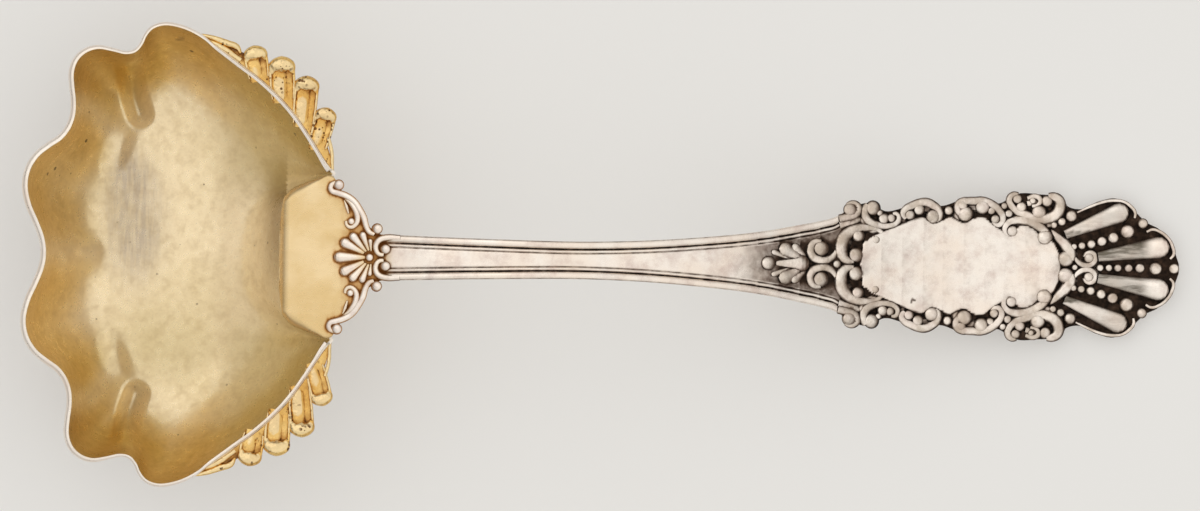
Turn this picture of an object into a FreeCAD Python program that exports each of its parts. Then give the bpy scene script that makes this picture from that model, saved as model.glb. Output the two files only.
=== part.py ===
import FreeCAD, Part
import math
import os

Vector = FreeCAD.Vector

# The gravy ladle is one struck piece: a lobed bowl, an arched handle and an ornamented end.
# +X runs from the bowl to the end of the handle, +Z is up, and the origin is where the
# underside of the bowl touches the surface that the ladle lies on. All sizes are in mm.

SIZES = (
    ("rim_height", 22.0),
    ("bowl_wall", 0.9),
    ("bowl_back", 13.3),
    ("bowl_front", 20.9),
    ("bowl_half_width", 33.6),
    ("bowl_centre", 3.0),
    ("floor_length_share", 0.42),
    ("floor_width_share", 0.55),
    ("tab_start", 12.0),
    ("tab_end", 21.2),
    ("tab_half_width", 11.6),
    ("tab_thickness", 1.5),
    ("tab_dip", 1.2),
    ("stem_start", 28.0),
    ("stem_lift", 2.6),
    ("stem_half_width", 3.35),
    ("waist_station", 59.0),
    ("waist_half_width", 2.8),
    ("stem_thickness", 3.2),
    ("arch_station", 52.0),
    ("arch_height", 29.8),
    ("fall_station", 80.0),
    ("fall_height", 22.6),
    ("settle_station", 104.0),
    ("settle_height", 9.2),
    ("flare_station", 95.0),
    ("flare_half_width", 6.9),
    ("plate_half_width", 10.3),
    ("plate_thickness", 1.9),
    ("rest_station", 138.0),
    ("tip_station", 146.0),
    ("tip_lift", 0.5),
    ("reed_width", 0.82),
    ("groove_width", 0.36),
    ("groove_depth", 0.35),
    ("relief_height", 0.55),
    ("relief_root", 0.9),
    ("gadroon_reach", 5.0),
    ("gadroon_radius", 1.66),
    ("gadroon_nose", 0.95),
    ("gadroon_drop", 1.7),
    ("border_thickness", 1.3),
    ("border_reach", 2.6),
)

# The rim of one half, from the middle of the tab's edge round to the front, and the plainer
# body that carries it, each as four poles for a stretch. They are drawn for a bowl with the
# back, front and half width of DRAWN_BOWL and stretched to those in the sheet.
DRAWN_BOWL = (13.3, 20.9, 33.6)
RIM = (
    ((13.3, 0), (13.3, 6.4), (13.5, 10.2), (20.9, 12.0)),
    ((20.9, 12.0), (17.2, 16.7), (16.4, 21.9), (2.4, 31.2)),
    ((2.4, 31.2), (-1.2, 34.6), (-7.4, 34.9), (-9.3, 29.4)),
    ((-9.3, 29.4), (-15.6, 32.3), (-18.6, 27.6), (-17.1, 19.0)),
    ((-17.1, 19.0), (-25.6, 16.4), (-25.6, 8.2), (-20.9, 0)),
)
BODY = (
    ((15.8, 0), (16.0, 5.0), (16.6, 8.4), (17.4, 12.3)),
    ((17.4, 12.3), (16.6, 17.0), (13.0, 23.6), (2.3, 30.6)),
    ((2.3, 30.6), (-2.2, 32.9), (-6.5, 32.1), (-9.9, 30.2)),
    ((-9.9, 30.2), (-13.3, 28.2), (-16.0, 25.4), (-17.6, 21.4)),
    ((-17.6, 21.4), (-20.2, 14.9), (-21.9, 7.5), (-21.9, 0)),
)
WALL_LEVELS = 10

# Flat facets between one station of the handle's profile and the next; 0 for one smooth arc.
FACETS = (1, 1, 0, 0, 3, 2, 2, 1)

# The handle's end, drawn between the stations of DRAWN_END with its half width, and stretched
# to those in the sheet: each lobe of the edge by its crest and by the valley after it.
DRAWN_END = (95.0, 146.0, 10.3)
LOBES = (
    ((98.6, 9.1), (102.1, 7.9)), ((106.9, 9.8), (110.6, 8.8)), ((115.4, 10.1), (119.2, 9.2)),
    ((124.3, 11.0), (129.8, 8.8)), ((135.6, 10.3), (139.7, 7.7)), ((143.8, 4.8), (146.0, 0)),
)

doc = FreeCAD.newDocument("gravy_ladle")


def make_sheet():
    sheet = doc.addObject("Spreadsheet::Sheet", "Sizes")
    for line, (name, value) in enumerate(SIZES, start=1):
        sheet.set(f"A{line}", name)
        sheet.set(f"B{line}", str(value))
        sheet.setAlias(f"B{line}", name)
    doc.recompute()
    return sheet


sheet = make_sheet()


def size(name):
    return float(sheet.get(name))


def feature(name, shape):
    made = doc.addObject("Part::Feature", name)
    made.Label = name
    made.Shape = shape
    return made


def group(kind, name, members):
    made = doc.addObject(kind, name)
    made.Label = name
    made.Shapes = members
    return made


def difference(name, base, tool):
    made = doc.addObject("Part::Cut", name)
    made.Label = name
    made.Base = base
    made.Tool = tool
    return made


# Curves and flat outlines

def through(points):
    curve = Part.BSplineCurve()
    curve.interpolate(points)
    return curve


def arcs_along(curve, stations):
    # one arc over each span of a smooth curve, between the points given
    parameters = [curve.parameter(point) for point in stations]
    edges = []
    for first, last in zip(parameters, parameters[1:]):
        edges.append(Part.Arc(curve.value(first), curve.value(0.5 * (first + last)), curve.value(last)).toShape())
    return edges


def arcs_through(points):
    flat = [Vector(x, y, 0) for x, y in points]
    return arcs_along(through(flat), flat)


def bezier(poles):
    curve = Part.BezierCurve()
    curve.setPoles(poles)
    return curve


def mirrored(shape):
    return shape.mirror(Vector(0, 0, 0), Vector(0, 1, 0))


def both_sides(shapes):
    return shapes + [mirrored(shape) for shape in shapes]


def flat_face(points):
    corners = [Vector(x, y, 0) for x, y in points]
    return Part.Face(Part.makePolygon(corners + corners[:1]))


def ribbon(points, widths):
    # a scroll stem along a line, with a width at each of its points
    left, right = [], []
    for number, ((x, y), width) in enumerate(zip(points, widths)):
        before, after = points[max(0, number - 1)], points[min(len(points) - 1, number + 1)]
        along, across = after[0] - before[0], after[1] - before[1]
        reach = 0.5 * width / math.hypot(along, across)
        left.append((x - across * reach, y + along * reach))
        right.append((x + across * reach, y - along * reach))
    return flat_face(left + right[::-1])


def ball(x, y, radius):
    turns = [math.pi * (step + 0.5) / 3 for step in range(6)]
    return flat_face([(x + radius * math.cos(turn), y + radius * math.sin(turn)) for turn in turns])


def petal(tip, root, radius, root_radius):
    # a flute or leaf, half round at its tip and slimmer at its root
    heading = math.atan2(tip[1] - root[1], tip[0] - root[0])
    points = [(tip[0] + radius * math.cos(heading + turn), tip[1] + radius * math.sin(heading + turn))
              for turn in (-1.57, -0.9, -0.3, 0.3, 0.9, 1.57)]
    for turn in (1.57, -1.57):
        points.append((root[0] + root_radius * math.cos(heading + turn), root[1] + root_radius * math.sin(heading + turn)))
    return flat_face(points)


# The bowl: six lobes round the front, two long shoulders towards the handle

def on_bowl(x, y):
    back, front, half = DRAWN_BOWL
    stretch = size("bowl_back") / back if x > 0 else size("bowl_front") / front
    return Vector(x * stretch, y * size("bowl_half_width") / half, 0)


def across(point):
    return Vector(point.x, -point.y, point.z)


def moved_out(poles, wall):
    # the poles of one half, moved square to the line between them by the wall's thickness
    line = [across(poles[1])] + poles + [across(poles[-2])]
    normals = []
    for first, last in zip(line, line[1:]):
        way = (last - first).normalize()
        normals.append(Vector(way.y, -way.x, 0))
    moved = []
    for pole, before, after in zip(poles, normals, normals[1:]):
        both = before + after
        moved.append(pole + both * (2 * wall / both.dot(both)))
    return moved


def bowl_outline(height, reach, lobing, wall):
    # the outline at a height: from the floor's to the rim's, with more of the lobes higher up
    centre = Vector(-size("bowl_centre"), 0, height)
    poles = []
    for rim, body in zip(RIM, BODY):
        for rim_pole, body_pole in list(zip(rim, body))[1 if poles else 0:]:
            plain = on_bowl(*body_pole) - Vector(-size("bowl_centre"), 0, 0)
            floor = Vector(plain.x * size("floor_length_share"), plain.y * size("floor_width_share"), 0)
            lobed = on_bowl(*rim_pole) - Vector(-size("bowl_centre"), 0, 0)
            edge = plain * (1 - lobing) + lobed * lobing
            poles.append(centre + floor * (1 - reach) + edge * reach)
    poles = moved_out(poles, wall)
    upper = [poles[first:first + 4] for first in range(0, len(poles) - 1, 3)]
    lower = [[across(pole) for pole in reversed(stretch)] for stretch in reversed(upper)]
    return Part.Wire([bezier(stretch).toShape() for stretch in upper + lower])


def bowl_skin(bottom, wall, headroom):
    # stacked outlines from the flat floor to the rim, and on by headroom over the hollow
    top = size("rim_height")
    outlines = []
    for level in range(WALL_LEVELS):
        turn = math.pi / 2 * level / (WALL_LEVELS - 1)
        climb = 1 - math.cos(turn)
        height = bottom + (top - bottom) * climb
        outlines.append(bowl_outline(height, math.sin(turn) ** 0.8, climb ** 0.6, wall))
    if headroom:
        outlines.append(bowl_outline(top + headroom, 1.0, 1.0, wall))
    return Part.makeLoft(outlines, True, True)


# The handle, seen from the side

def profile_stations():
    rim, plate = size("rim_height"), size("plate_thickness")
    stem = size("stem_thickness")
    return (
        (size("tab_start"), rim - size("tab_dip"), size("tab_thickness")),
        (size("tab_end"), rim + 0.25 * size("stem_lift"), 0.5 * (size("tab_thickness") + stem)),
        (size("stem_start"), rim + size("stem_lift"), stem),
        (size("arch_station"), size("arch_height"), stem),
        (size("fall_station"), size("fall_height"), stem),
        (size("settle_station"), size("settle_height"), 0.6 * plate + 0.4 * stem),
        (0.5 * (size("settle_station") + size("rest_station")), 0.44 * size("settle_height"), plate),
        (size("rest_station"), plate, plate),
        (size("tip_station") + 1, plate + size("tip_lift"), plate),
    )


def top_curve():
    return through([Vector(x, 0, z) for x, z, thickness in profile_stations()])


def profile_edges(points):
    # arcs over the open stem, and flat facets under the ornament
    curve = through(points)
    edges = []
    for first, last, facets in zip(points, points[1:], FACETS):
        if facets:
            start, end = curve.parameter(first), curve.parameter(last)
            corners = [curve.value(start + (end - start) * step / facets) for step in range(facets + 1)]
            edges += [Part.makeLine(near, far) for near, far in zip(corners, corners[1:])]
        else:
            edges += arcs_along(curve, [first, last])
    return edges


def top_line(lift):
    # the line of the top, raised by lift
    edges = profile_edges([Vector(x, 0, z) for x, z, thickness in profile_stations()])
    for edge in edges:
        edge.translate(Vector(0, 0, lift))
    return edges


def bottom_line():
    top = top_curve()
    points = []
    for x, z, thickness in profile_stations():
        tangent = top.tangent(top.parameter(Vector(x, 0, z)))[0]
        points.append(Vector(x, 0, z - thickness / abs(tangent.x)))
    return profile_edges(points)


def side_band(top, bottom):
    # everything between two lines seen from the side, wider than the handle
    starts = Part.makeLine(top[0].valueAt(top[0].FirstParameter), bottom[0].valueAt(bottom[0].FirstParameter))
    ends = Part.makeLine(top[-1].valueAt(top[-1].LastParameter), bottom[-1].valueAt(bottom[-1].LastParameter))
    face = Part.Face(Part.Wire(top + [ends] + bottom[::-1] + [starts]))
    reach = 3 * size("plate_half_width")
    face.translate(Vector(0, -reach, 0))
    return face.extrude(Vector(0, 2 * reach, 0))


# The handle, seen from above

def on_neck(points):
    return [(x + size("tab_end") - 21.2, y) for x, y in points]


def on_end(points):
    first, last, half = DRAWN_END
    stretch = (size("tip_station") - size("flare_station")) / (last - first)
    return [(size("flare_station") + (x - first) * stretch, y * size("plate_half_width") / half) for x, y in points]


def stem_edge(inset):
    # the edge of the stem from the neck to the flare, moved in by inset
    start, waist, flare = size("stem_start"), size("waist_station"), size("flare_station")
    wide, slim = size("stem_half_width"), size("waist_half_width")
    rise = size("flare_half_width") - slim
    run = flare - waist
    edge = [(start, wide), (0.5 * (start + waist), slim + 0.25 * (wide - slim)), (waist, slim),
            (waist + 0.45 * run, slim + 0.14 * rise), (waist + 0.75 * run, slim + 0.5 * rise),
            (flare, slim + rise)]
    return [(x, y - inset) for x, y in edge]


def neck_edge():
    return on_neck([(21.2, 11.3), (22.6, 9.4), (24.4, 7.9), (25.8, 5.6), (26.8, 4.1)]) + stem_edge(0)[:1]


def plan_face():
    tab = [(size("tab_start"), size("tab_half_width")), (size("tab_end"), size("tab_half_width")), neck_edge()[0]]
    upper = Part.makePolygon([Vector(x, y, 0) for x, y in tab]).Edges
    upper += arcs_through(neck_edge()) + arcs_through(stem_edge(0))
    start = on_end([(DRAWN_END[0], 0)])[0][0], size("flare_half_width")
    for crest, valley in LOBES:
        middle, end = on_end([crest, valley])
        upper.append(Part.Arc(Vector(*start, 0), Vector(*middle, 0), Vector(*end, 0)).toShape())
        start = end
    edges = both_sides(upper)
    edges.append(Part.makeLine(Vector(*tab[0], 0), Vector(tab[0][0], -tab[0][1], 0)))
    return Part.Face(Part.Wire(Part.__sortEdges__(edges)))


def stem_grooves():
    # a groove beside each edge of the stem leaves a reed along it
    outer, inner = size("reed_width"), size("reed_width") + size("groove_width")
    near, far = arcs_through(stem_edge(outer)), arcs_through(stem_edge(inner))
    joins = [Part.makeLine(Vector(*stem_edge(outer)[end], 0), Vector(*stem_edge(inner)[end], 0)) for end in (0, -1)]
    return Part.Face(Part.Wire(Part.__sortEdges__(near + far + joins)))


# Ornament, drawn in plan and raised over the handle's top face

def neck_ornament():
    shift = size("tab_end") - 21.2
    shapes = [ribbon(on_neck([(22.3, 8.3), (23.9, 7.0), (25.2, 4.8), (27.4, 2.6)]), (0.7, 0.9, 0.9, 0.7)),
              ball(21.5 + shift, 9.6, 0.85)]
    for tip, root, radius in (((22.9, 2.1), (25.7, 0.5), 0.7), ((24.0, 3.6), (26.0, 0.8), 0.55)):
        shapes.append(petal(*on_neck([tip, root]), radius, 0.2))
    return both_sides(shapes) + [petal(*on_neck([(22.2, 0), (26.0, 0)]), 0.8, 0.3), ball(26.9 + shift, 0, 0.55)]


def flare_ornament():
    strands = (
        (((95.2, 2.5), (94.3, 0.95), (92.5, 0.65), (91.3, 2.2), (92.4, 3.2)), (0.4, 0.9, 1.0, 0.95, 0.6)),
        (((97.7, 0.65), (96.0, 1.6), (96.0, 3.9), (98.2, 5.2), (100.9, 5.0), (101.8, 3.9), (100.8, 3.2)),
         (0.8, 1.3, 1.5, 1.3, 0.8, 0.7, 0.4)),
        (((99.6, 8.3), (99.4, 7.0), (101.0, 6.0), (103.4, 6.1), (104.1, 7.0)), (1.0, 1.1, 1.0, 0.8, 0.6)),
    )
    balls = ((92.9, 2.2, 0.95), (97.9, 1.6, 1.0), (98.4, 3.9, 0.85), (97.3, 7.8, 1.0), (100.9, 8.0, 0.9))
    leaf = [petal(*on_end([(87.6, 2.0), (90.8, 0.3)]), 0.9, 0.25)]
    axis = [petal(*on_end([(87.2, 0), (91.2, 0)]), 0.6, 0.4)] + [ball(*on_end([(85.05, 0)])[0], 0.98)]
    return both_sides(end_strands(strands) + end_balls(balls) + leaf) + axis


def border_ornament():
    strands = (
        (((105.3, 7.0), (105.3, 8.1), (107.3, 9.0), (109.2, 8.5), (109.9, 7.4), (109.5, 6.6)),
         (0.7, 0.9, 1.1, 1.1, 0.9, 0.6)),
        (((113.1, 8.9), (115.4, 9.4), (118.0, 8.8), (119.3, 7.4), (118.7, 6.3)), (0.8, 1.0, 1.0, 0.9, 0.5)),
        (((121.9, 10.1), (120.8, 9.3), (121.7, 8.1), (124.6, 7.2), (127.4, 7.8), (127.6, 9.3), (126.2, 10.1)),
         (0.6, 0.8, 0.9, 1.2, 1.3, 1.1, 0.6)),
        (((120.2, 5.2), (120.9, 6.4), (123.0, 6.6), (125.3, 5.6), (126.5, 4.5)), (0.7, 0.8, 0.9, 1.0, 0.8)),
        (((127.1, 5.0), (129.0, 3.2), (129.7, 1.2)), (0.5, 1.2, 1.0)),
    )
    balls = ((108.6, 7.2, 0.8), (114.0, 7.5, 0.95), (116.7, 8.0, 0.8), (111.6, 8.0, 0.55), (125.0, 8.4, 0.85),
             (121.1, 4.8, 0.6), (125.5, 4.2, 0.85), (128.9, 1.2, 0.8), (132.3, 1.3, 0.7))
    return both_sides(end_strands(strands) + end_balls(balls))


def fan_ornament():
    # two flutes on each side, rows of beads that grow towards the edge, and hooks round the flutes
    flutes = [petal(*on_end([(136.9, 8.3), (128.9, 4.9)]), 1.4, 0.5), petal(*on_end([(142.5, 3.4), (133.8, 1.8)]), 1.45, 0.75)]
    hooks = ((((131.2, 8.1), (133.6, 9.0), (136.6, 9.9), (138.9, 8.6), (139.0, 7.4)), (0.4, 0.5, 0.5, 0.5, 0.4)),
             (((141.6, 5.5), (143.5, 4.6), (144.6, 2.9), (144.8, 1.7)), (0.4, 0.5, 0.5, 0.4)))
    rows = ((129.7, 7.3, 0.7), (130.7, 3.1, 0.45), (132.0, 3.3, 0.52), (133.5, 3.8, 0.6), (135.2, 4.3, 0.68),
            (137.7, 5.5, 0.9), (140.1, 6.4, 0.6))
    axis = ((130.9, 0, 0.45), (134.1, 0, 0.5), (135.5, 0, 0.52), (136.9, 0, 0.56), (138.4, 0, 0.62), (140.1, 0, 0.72),
            (142.4, 0, 0.95), (144.8, 0, 0.7), (95.2, 0, 0.6))
    return both_sides(flutes + end_strands(hooks) + end_balls(rows)) + end_balls(axis)


def end_strands(strands):
    return [ribbon(on_end(points), widths) for points, widths in strands]


def end_balls(balls):
    return [ball(*on_end([(x, y)])[0], radius) for x, y, radius in balls]


def raised(name, faces):
    joined = Part.Shell(faces[0].multiFuse(faces[1:]).Faces).removeSplitter()
    prism = joined.extrude(Vector(0, 0, 2 * size("arch_height")))
    band = side_band(top_line(size("relief_height")), top_line(-size("relief_root")))
    return feature(name, prism.common(band))


# The gadrooned borders outside the two back shoulders

def shoulder_line():
    return bezier([on_bowl(*pole) for pole in RIM[1]])


def border_plate():
    # from the shoulder's foot at the tab to the first lobe, widest in the middle
    line = shoulder_line()
    inner, outer = [], []
    for share, reach in ((0.03, 0.35), (0.12, 0.7), (0.3, 1.0), (0.5, 1.0), (0.7, 0.9), (0.85, 0.6), (0.97, 0.25)):
        where, tangent = line.value(share), line.tangent(share)[0]
        outward = Vector(tangent.y, -tangent.x, 0)
        inner.append(where + outward * 0.4)
        outer.append(where + outward * (0.4 + size("border_reach") * reach))
    face = Part.Face(Part.makePolygon(inner + outer[::-1] + inner[:1]))
    face.translate(Vector(0, 0, size("rim_height") - size("gadroon_drop") - 0.5 * size("border_thickness")))
    return face.extrude(Vector(0, 0, size("border_thickness")))


def gadroon(name, root, tip, share):
    reach = (tip - root).Length / 5
    direction = (tip - root).normalize()
    turn = FreeCAD.Rotation(Vector(0, 0, 1), direction)
    body = doc.addObject("Part::Prism", name)
    body.Polygon = 12
    body.setExpression("Circumradius", f"{share} * Sizes.gadroon_radius")
    body.setExpression("Height", f"{reach:.12f} * Sizes.gadroon_reach")
    body.Placement = FreeCAD.Placement(root, turn)
    nose = doc.addObject("Part::Prism", name + "_nose")
    nose.Polygon = 12
    nose.setExpression("Circumradius", f"{0.7 * share} * Sizes.gadroon_radius")
    nose.setExpression("Height", "0.7 * Sizes.gadroon_nose")
    nose.Placement = FreeCAD.Placement(root + direction * (reach * size("gadroon_reach")), turn)
    return [body, nose]


def all_gadroons():
    # each by its tip, by its root in the bowl's wall and by its share of the full radius
    height = Vector(0, 0, size("rim_height") - size("gadroon_drop"))
    places = (((6.3, 29.8), (6.4, 29.0), 0.8), ((9.4, 29.6), (9.9, 26.2), 0.97), ((13.2, 27.6), (13.5, 23.3), 1.0),
              ((16.9, 24.6), (16.6, 19.9), 0.97), ((19.8, 20.2), (18.9, 16.4), 0.85))
    made = []
    for number, (tip, root, share) in enumerate(places, start=1):
        for side, word in ((1, "left"), (-1, "right")):
            ends = [on_bowl(x, y) for x, y in (root, tip)]
            ends = [Vector(end.x, side * end.y, 0) + height for end in ends]
            made += gadroon(f"gadroon_{word}_{number}", *ends, share)
    return made


# Putting the piece together

def tab_clearance():
    # the space over the tab, down to just under its face, which keeps the bowl's rim below it
    low = top_line(-0.3)[0]
    start, end = low.valueAt(low.FirstParameter), low.valueAt(low.LastParameter)
    above = Part.makePolygon([end, end + Vector(0, 0, 5), start + Vector(0, 0, 5), start])
    face = Part.Face(Part.Wire([low] + above.Edges))
    face.translate(Vector(0, 0.97 * -size("tab_half_width"), 0))
    return face.extrude(Vector(0, 2 * 0.97 * size("tab_half_width"), 0))


def build_ladle():
    full = feature("bowl_outside", bowl_skin(0.0, size("bowl_wall"), 0.0))
    outside = difference("bowl_under_tab", full, feature("tab_clearance", tab_clearance()))
    hollow = feature("bowl_hollow", bowl_skin(size("bowl_wall"), 0.0, size("arch_height")))
    plan = feature("handle_plan", plan_face().extrude(Vector(0, 0, 2 * size("arch_height"))))
    side = feature("handle_side", side_band(top_line(0), bottom_line()))
    blank = group("Part::MultiCommon", "handle_blank", [plan, side])
    groove = [stem_grooves()]
    cutter = Part.Compound(both_sides(groove)).extrude(Vector(0, 0, 2 * size("arch_height")))
    grooves = feature("stem_grooves", cutter.common(side_band(top_line(1), top_line(-size("groove_depth")))))
    reeded = difference("reeded_handle", blank, grooves)
    relief = raised("struck_relief", neck_ornament() + flare_ornament() + border_ornament() + fan_ornament())
    borders = [feature(f"border_{number}", plate) for number, plate in enumerate(both_sides([border_plate()]))]
    whole = group("Part::MultiFuse", "ladle_with_full_bowl", [outside, reeded, relief] + borders + all_gadroons())
    return difference("ladle", whole, hollow)


def check(ladle):
    doc.recompute()
    for made in doc.Objects:
        if {"Invalid", "Error"} & set(made.State):
            raise RuntimeError(f"{made.Name} failed: {made.State}")
    if ladle.Shape.isNull() or not ladle.Shape.isValid():
        raise RuntimeError("the ladle's shape is not valid")
    if len(ladle.Shape.Solids) != 1:
        raise RuntimeError(f"the ladle is {len(ladle.Shape.Solids)} solids and should be one")


ladle = build_ladle()
check(ladle)
os.makedirs("parts", exist_ok=True)
ladle.Shape.exportStep(os.path.join("parts", ladle.Label + ".step"))
print("ladle volume", round(ladle.Shape.Volume), "mm3, box", ladle.Shape.BoundBox)
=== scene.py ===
"""A gravy ladle with a gilt scalloped bowl and a struck silver handle, laid on a pale table."""
import math

import bmesh
import bpy
import numpy as np
from bpy.props import FloatProperty, FloatVectorProperty, IntProperty, PointerProperty
from mathutils import Matrix, Vector


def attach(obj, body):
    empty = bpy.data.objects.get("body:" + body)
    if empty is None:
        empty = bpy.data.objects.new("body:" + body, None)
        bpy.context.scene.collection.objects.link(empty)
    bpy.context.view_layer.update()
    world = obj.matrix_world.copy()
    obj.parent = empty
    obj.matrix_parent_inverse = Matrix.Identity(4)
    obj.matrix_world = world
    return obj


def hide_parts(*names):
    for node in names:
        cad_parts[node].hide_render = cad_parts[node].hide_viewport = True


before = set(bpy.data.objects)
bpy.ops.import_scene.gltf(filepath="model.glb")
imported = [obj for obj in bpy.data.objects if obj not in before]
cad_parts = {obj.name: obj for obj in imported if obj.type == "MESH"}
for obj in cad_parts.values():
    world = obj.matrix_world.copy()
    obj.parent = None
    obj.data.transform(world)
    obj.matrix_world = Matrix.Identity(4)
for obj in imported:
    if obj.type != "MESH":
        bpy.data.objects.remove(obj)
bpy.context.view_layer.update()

bl_info = {
    "name": "Gravy Ladle",
    "version": (1, 0, 0),
    "blender": (4, 5, 0),
    "location": "View3D > Sidebar > Ladle",
    "description": "Builds a gilt and silver gravy ladle and the table it lies on",
    "category": "Add Mesh",
}

MM = 0.001

# The bowl's opening, front to back on the left side, in millimetres: lobes and rounded valleys,
# then the straight shoulder, then the edge of the tab.
MOUTH = (
    (-20.9, 0.0), (-21.2, 2.2), (-22.1, 4.6), (-23.2, 7.1), (-23.75, 9.7), (-23.4, 12.1), (-22.2, 14.1),
    (-20.5, 15.5), (-18.8, 16.7), (-17.6, 18.3), (-16.95, 20.2), (-16.85, 22.3), (-17.1, 24.4),
    (-17.2, 26.5), (-16.6, 28.3), (-15.3, 29.5), (-13.6, 30.0), (-11.6, 29.7), (-9.7, 29.3),
    (-8.2, 29.6), (-7.2, 30.7), (-6.6, 32.0), (-5.6, 33.1), (-3.9, 33.6), (-1.8, 33.3), (0.3, 32.5),
    (2.4, 31.2), (4.6, 29.6), (7.0, 27.8), (9.6, 25.9), (11.8, 24.0), (13.8, 22.0), (15.6, 19.8),
    (17.2, 17.5), (18.4, 15.6), (19.5, 13.9), (20.4, 12.7), (20.9, 12.0),
)
TAB_EDGE = (
    (18.9, 11.4), (16.6, 10.65), (15.25, 10.0), (14.25, 9.1), (13.65, 7.9), (13.4, 6.0),
    (13.3, 3.0), (13.3, 0.0),
)

# The bowl: its middle, how large its floor is against its mouth, the shares of its rows that the floor and
# the rolled lip take, how far the lip turns and how far the wall under the tab stays below the tab's top.
BOWL_CENTRE = np.array([-3.0, 0.0])
FLOOR_SHARE = (0.42, 0.55)
FLOOR_ROWS, LIP_ROWS = 0.16, 0.05
LIP_TURN = math.radians(80)
UNDER_TAB = 1.4

# Stations of the tab's end, the neck, the start of the ornamented end and the tip.
TAB_X, NECK_X, FLARE_X, TIP_X = 13.25, 29.5, 82, 145.7

# Half width of the handle by station, and the height of its top with its thickness.
HALF_WIDTH = (
    (13.25, 4.0), (13.4, 6.0), (13.65, 7.9), (14.25, 9.15), (15.25, 10.05), (16.6, 10.7), (18.9, 11.45),
    (20.6, 11.95), (21.3, 11.5), (21.9, 10.3), (22.6, 9.5), (24.0, 8.4), (25.0, 7.2), (25.7, 5.8),
    (26.3, 4.7), (27.0, 4.1), (27.9, 3.5), (29.2, 3.35), (31.0, 3.3), (43.7, 2.96), (59.4, 2.78),
    (67.4, 3.07), (75.1, 3.64),
    (82.4, 4.41), (85.3, 4.85), (89.7, 5.7), (92.6, 6.3), (95.0, 7.0), (97.1, 8.3), (100.0, 9.0),
    (102.2, 7.9), (104.4, 8.3), (107.4, 9.7), (110.3, 8.8), (114.0, 9.9), (116.9, 9.8), (119.1, 9.3),
    (121.3, 10.6), (125.0, 10.7), (127.6, 10.3), (129.4, 8.9), (130.9, 8.6), (133.8, 9.8),
    (136.5, 10.2), (138.7, 8.8), (140.7, 6.9), (143.1, 5.5), (144.7, 3.4), (145.4, 1.6), (145.7, 0.7),
)
TOP = (
    (12.0, 20.8), (21.2, 22.65), (28.0, 24.5), (38.0, 27.8), (52.0, 29.42), (66.0, 27.3), (80.0, 22.4),
    (92.0, 15.2), (104.0, 9.2), (121.0, 4.05), (138.0, 1.9), (147.0, 2.4),
)
THICKNESS = ((12.0, 1.5), (21.2, 2.35), (28.0, 3.2), (80.0, 3.2), (104.0, 2.42), (121.0, 1.9), (147.0, 1.9))

# Half width of the bare cartouche by station.
CARTOUCHE = (
    (98.6, 0.0), (98.9, 2.6), (99.6, 3.6), (101.3, 4.7), (104.2, 5.9), (106.6, 6.9), (108.0, 7.1),
    (109.2, 6.4), (110.7, 6.8), (111.8, 7.3), (112.9, 6.8), (114.0, 6.5), (115.2, 7.1), (117.0, 7.2),
    (118.0, 6.4), (119.6, 5.4), (121.0, 4.8), (121.8, 5.9), (123.0, 6.2), (124.4, 5.6), (125.6, 4.2),
    (127.4, 3.4), (128.0, 1.8), (128.3, 0.0),
)

# Struck ornament of one side, each strand as its points and its radii, each ball as place and radius.
NECK_STRANDS = (
    (((21.5, 11.0), (20.75, 10.5), (20.8, 9.75), (21.7, 9.4), (22.9, 9.0), (24.1, 8.2), (24.9, 7.1),
      (25.6, 5.8), (26.0, 4.5), (26.5, 3.7), (27.2, 3.4)),
     (0.24, 0.36, 0.4, 0.42, 0.42, 0.42, 0.42, 0.42, 0.38, 0.34, 0.28)),
    (((22.5, 8.8), (23.1, 8.45), (24.05, 7.45), (24.6, 6.3), (24.65, 5.35), (24.25, 4.65), (23.65, 4.4),
      (23.1, 4.75), (23.0, 5.3)), (0.1, 0.24, 0.38, 0.42, 0.38, 0.32, 0.28, 0.25, 0.22)),
    (((22.7, 8.3), (23.05, 7.4), (23.35, 6.4)), (0.08, 0.2, 0.12)),
    (((28.6, 0.42), (27.95, 0.5), (27.5, 1.05), (27.45, 1.9), (27.95, 2.6), (28.9, 2.92), (31.0, 2.9)),
     (0.26, 0.3, 0.34, 0.38, 0.4, 0.4, 0.36)),
)
NECK_BALLS = ((21.85, 10.55, 0.72), (27.6, 4.2, 0.72), (23.75, 5.25, 0.48), (28.85, 1.25, 0.68))
PETALS = (
    ((22.9, 2.05), (25.7, 0.62), 0.84), ((24.1, 3.0), (26.0, 0.85), 0.7), ((25.5, 3.25), (26.4, 1.0), 0.56),
    ((26.6, 2.4), (26.75, 0.95), 0.36),
)

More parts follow.
